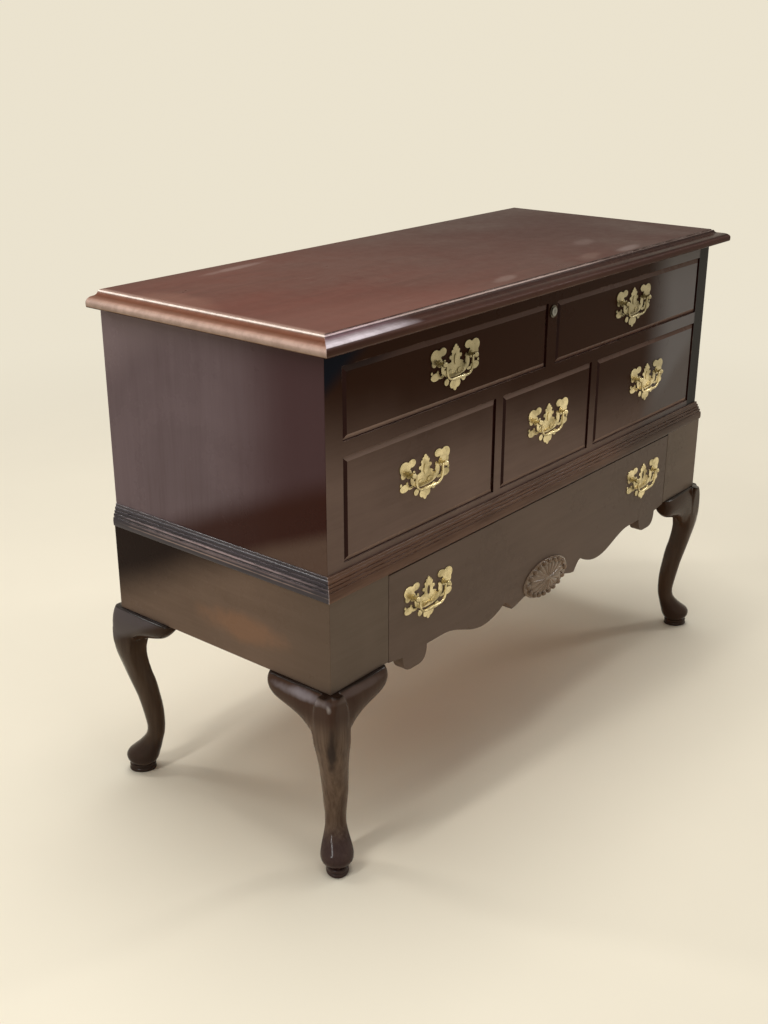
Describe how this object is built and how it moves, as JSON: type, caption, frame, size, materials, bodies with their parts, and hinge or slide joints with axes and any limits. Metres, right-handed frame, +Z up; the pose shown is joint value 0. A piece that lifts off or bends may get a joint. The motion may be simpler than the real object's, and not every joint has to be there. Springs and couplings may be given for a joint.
{
  "type": "lift-top chest with drawer",
  "caption": "Lift-top storage chest on cabriole legs, with a grooved false-drawer front, a scalloped base drawer with a carved shell, pierced brass bail pulls and a push-button lid lock.",
  "frame": {"origin": "on the floor, under the middle of the chest's bounding box", "axes": "+Z up, front towards -Y, +X to the right seen from the front"},
  "size_m": [1.142, 0.491, 0.82],
  "materials": {
    "case_wood": "dark brown cherry stain, satin lacquer",
    "top_wood": "reddish brown cherry stain, satin lacquer",
    "cedar": "bare red cedar",
    "inner_wood": "clear sealed poplar",
    "shell_wood": "lighter brown stain, satin",
    "pull_brass": "lacquered antique brass",
    "hinge_brass": "plated",
    "steel": "zinc",
    "lock_metal": "nickel",
    "lock_ring": "dark bronze"
  },
  "bodies": {
    "carcase": {"side_panel_left": "case_wood", "side_panel_right": "case_wood", "front_panel": "case_wood", "back_panel": "case_wood", "chest_floor": "cedar", "lining_front": "cedar", "lining_back": "cedar", "lining_left": "cedar", "lining_right": "cedar", "case_hinge_leaves": "hinge_brass", "hinge_pins": "hinge_brass", "stay_guide_pins": "hinge_brass", "lock_case": "steel", "lock_ring": "lock_ring", "waist_moulding_front": "case_wood", "waist_moulding_left": "case_wood", "waist_moulding_right": "case_wood", "side_rail_left": "case_wood", "side_rail_right": "case_wood", "back_rail": "case_wood", "front_stile_left": "case_wood", "front_stile_right": "case_wood", "drawer_runner_left": "inner_wood", "drawer_runner_right": "inner_wood", "kickers": "inner_wood", "drawer_stops": "inner_wood", "leg_blocks": "inner_wood", "leg_front_left": "case_wood", "leg_front_right": "case_wood", "leg_back_left": "case_wood", "leg_back_right": "case_wood", "leg_bolts": "steel", "case_pull_plates": "pull_brass", "case_pull_posts": "pull_brass"},
    "lid": {"lid_panel": "top_wood", "lid_liner": "cedar", "lid_hinge_leaves": "hinge_brass", "lock_strike": "hinge_brass", "stay_brackets": "hinge_brass"},
    "stay_left": {"stay_arm_left": "steel"},
    "stay_right": {"stay_arm_right": "steel"},
    "button": {"lock_button": "lock_metal"},
    "plug": {"key_plug": "lock_metal"},
    "drawer": {"drawer_front": "case_wood", "drawer_side_left": "inner_wood", "drawer_side_right": "inner_wood", "drawer_back": "inner_wood", "drawer_bottom": "cedar", "shell_carving": "shell_wood", "drawer_pull_plates": "pull_brass", "drawer_pull_posts": "pull_brass"},
    "bail_upper_left": {"bail_upper_left": "pull_brass"},
    "bail_upper_right": {"bail_upper_right": "pull_brass"},
    "bail_lower_left": {"bail_lower_left": "pull_brass"},
    "bail_lower_centre": {"bail_lower_centre": "pull_brass"},
    "bail_lower_right": {"bail_lower_right": "pull_brass"},
    "bail_drawer_left": {"bail_drawer_left": "pull_brass"},
    "bail_drawer_right": {"bail_drawer_right": "pull_brass"}
  },
  "joints": [
    {"name": "lid_hinge", "type": "hinge", "parent": "carcase", "child": "lid", "pos_m": [0, 0.22999, 0.7967], "axis": [-1, 0, 0], "range_deg": [0, 84]},
    {"name": "stay_left_turn", "type": "hinge", "parent": "lid", "child": "stay_left", "pos_m": [-0.519, 0.08032, 0.7867], "axis": [-1, 0, 0], "range_deg": [-42, 0]},
    {"name": "stay_right_turn", "type": "hinge", "parent": "lid", "child": "stay_right", "pos_m": [0.519, 0.08032, 0.7867], "axis": [-1, 0, 0], "range_deg": [-42, 0]},
    {"name": "drawer_slide", "type": "slide", "parent": "carcase", "child": "drawer", "axis": [0, -1, 0], "range_m": [0, 0.3]},
    {"name": "lock_push", "type": "slide", "parent": "carcase", "child": "button", "axis": [0, 1, 0], "range_m": [0, 0.007], "stiffness_N_per_m": 400},
    {"name": "key_turn", "type": "hinge", "parent": "button", "child": "plug", "pos_m": [0, -0.21651, 0.7564], "axis": [0, -1, 0], "range_deg": [0, 90]},
    {"name": "bail_upper_left_swing", "type": "hinge", "parent": "carcase", "child": "bail_upper_left", "pos_m": [-0.2615, -0.22651, 0.7322], "axis": [-1, 0, 0], "range_deg": [0, 110]},
    {"name": "bail_upper_right_swing", "type": "hinge", "parent": "carcase", "child": "bail_upper_right", "pos_m": [0.2615, -0.22651, 0.7322], "axis": [-1, 0, 0], "range_deg": [0, 110]},
    {"name": "bail_lower_left_swing", "type": "hinge", "parent": "carcase", "child": "bail_lower_left", "pos_m": [-0.3305, -0.22651, 0.5825], "axis": [-1, 0, 0], "range_deg": [0, 110]},
    {"name": "bail_lower_centre_swing", "type": "hinge", "parent": "carcase", "child": "bail_lower_centre", "pos_m": [0, -0.22651, 0.5825], "axis": [-1, 0, 0], "range_deg": [0, 110]},
    {"name": "bail_lower_right_swing", "type": "hinge", "parent": "carcase", "child": "bail_lower_right", "pos_m": [0.3305, -0.22651, 0.5825], "axis": [-1, 0, 0], "range_deg": [0, 110]},
    {"name": "bail_drawer_left_swing", "type": "hinge", "parent": "drawer", "child": "bail_drawer_left", "pos_m": [-0.33, -0.23551, 0.391], "axis": [-1, 0, 0], "range_deg": [0, 110]},
    {"name": "bail_drawer_right_swing", "type": "hinge", "parent": "drawer", "child": "bail_drawer_right", "pos_m": [0.33, -0.23551, 0.391], "axis": [-1, 0, 0], "range_deg": [0, 110]}
  ],
  "couplings": [
    {"joint": "stay_left_turn", "follows": "lid_hinge", "ratio": -0.5},
    {"joint": "stay_right_turn", "follows": "lid_hinge", "ratio": -0.5}
  ]
}
